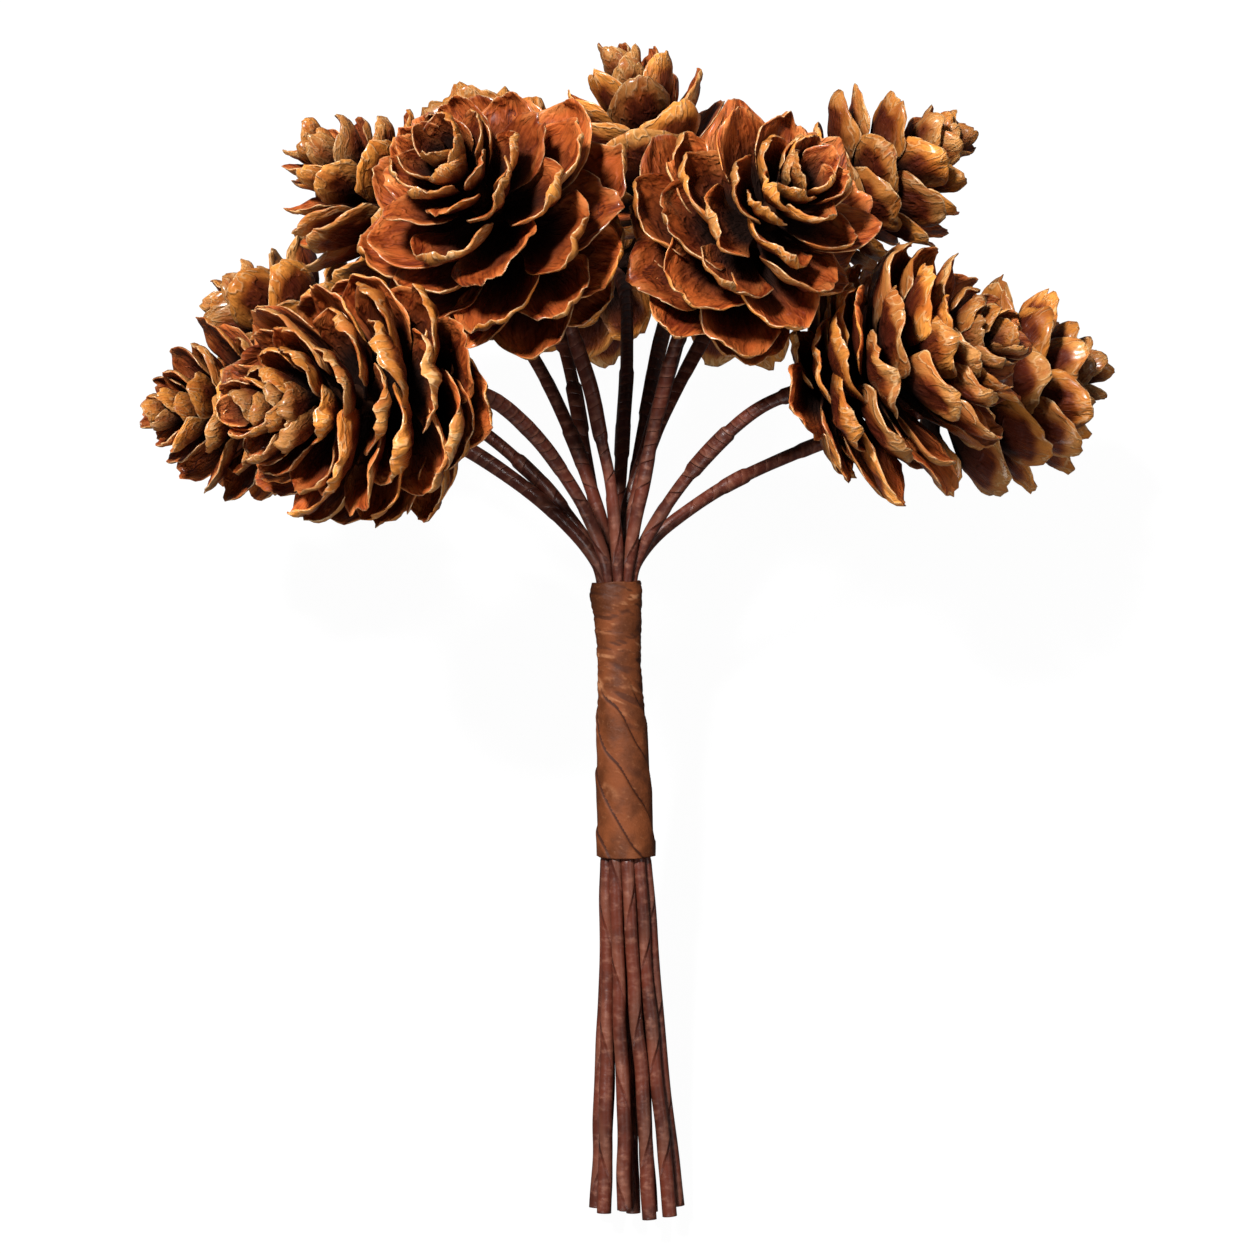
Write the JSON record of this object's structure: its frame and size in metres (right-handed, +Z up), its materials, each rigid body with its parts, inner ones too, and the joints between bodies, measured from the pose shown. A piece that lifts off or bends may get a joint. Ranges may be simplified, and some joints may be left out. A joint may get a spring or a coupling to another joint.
{
  "type": "pine cone pick",
  "caption": "Bunch of small open pine cones on tape-wound wire stems, bound with tape where the stems meet, lying on its side.",
  "frame": {"origin": "under the middle of the bunch as it lies, on the surface that it lies on", "axes": "+Z up from the surface, +Y along the bunch from the cut stem ends to the cones, +X to the right as the front is seen with the cones away"},
  "size_m": [0.1254, 0.1468, 0.0892],
  "materials": {
    "cone": "satin, red-brown inside the scales and golden brown outside",
    "stem_tape": "waxed, dark brown, wound in a spiral",
    "binding_tape": "matt crepe, mid brown, wound in a spiral",
    "stem_wire": "plain drawn wire"
  },
  "bodies": {
    "root": {"binding_tape": "binding_tape", "cone_back_left": "cone", "cone_centre_left": "cone", "cone_centre_right": "cone", "cone_front_left": "cone", "cone_front_right": "cone", "cone_high_back": "cone", "cone_high_left": "cone", "cone_high_right": "cone", "cone_rest_left": "cone", "cone_rest_right": "cone", "cone_side_left": "cone", "cone_side_right": "cone", "cone_top": "cone", "stem_tape_01": "stem_tape", "stem_tape_02": "stem_tape", "stem_tape_03": "stem_tape", "stem_tape_04": "stem_tape", "stem_tape_05": "stem_tape", "stem_tape_06": "stem_tape", "stem_tape_07": "stem_tape", "stem_tape_08": "stem_tape", "stem_tape_09": "stem_tape", "stem_tape_10": "stem_tape", "stem_tape_11": "stem_tape", "stem_tape_12": "stem_tape", "stem_tape_13": "stem_tape", "stem_wire_01": "stem_wire", "stem_wire_02": "stem_wire", "stem_wire_03": "stem_wire", "stem_wire_04": "stem_wire", "stem_wire_05": "stem_wire", "stem_wire_06": "stem_wire", "stem_wire_07": "stem_wire", "stem_wire_08": "stem_wire", "stem_wire_09": "stem_wire", "stem_wire_10": "stem_wire", "stem_wire_11": "stem_wire", "stem_wire_12": "stem_wire", "stem_wire_13": "stem_wire"}
  },
  "joints": []
}
